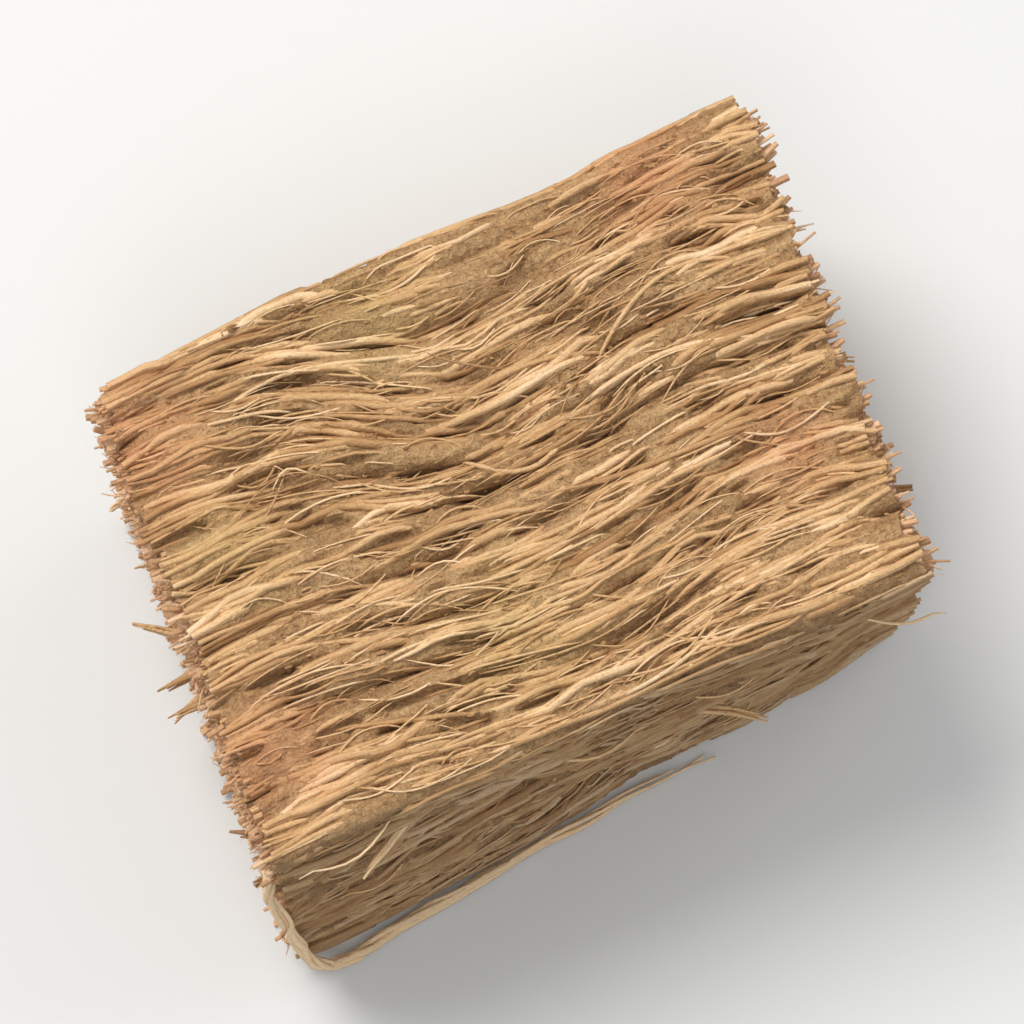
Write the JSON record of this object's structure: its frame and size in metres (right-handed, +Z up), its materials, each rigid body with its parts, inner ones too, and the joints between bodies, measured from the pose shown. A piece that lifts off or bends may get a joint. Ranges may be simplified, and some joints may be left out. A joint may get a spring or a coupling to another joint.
{
  "type": "coconut husk chip",
  "caption": "Block-shaped chip of coconut husk: wavy bundles of coir run along it, its ends are cut square, and loose coir strands stand out of it.",
  "frame": {"origin": "middle of the flat spot that the chip rests on", "axes": "+X along the coir, to the cut end on the right; +Y across the coir, to the back; +Z up"},
  "size_m": [0.0231, 0.0174, 0.0122],
  "materials": {
    "coir_husk": "matt, fibrous golden-brown coir with corky pith"
  },
  "bodies": {
    "root": {"husk_chip": "coir_husk"}
  },
  "joints": []
}
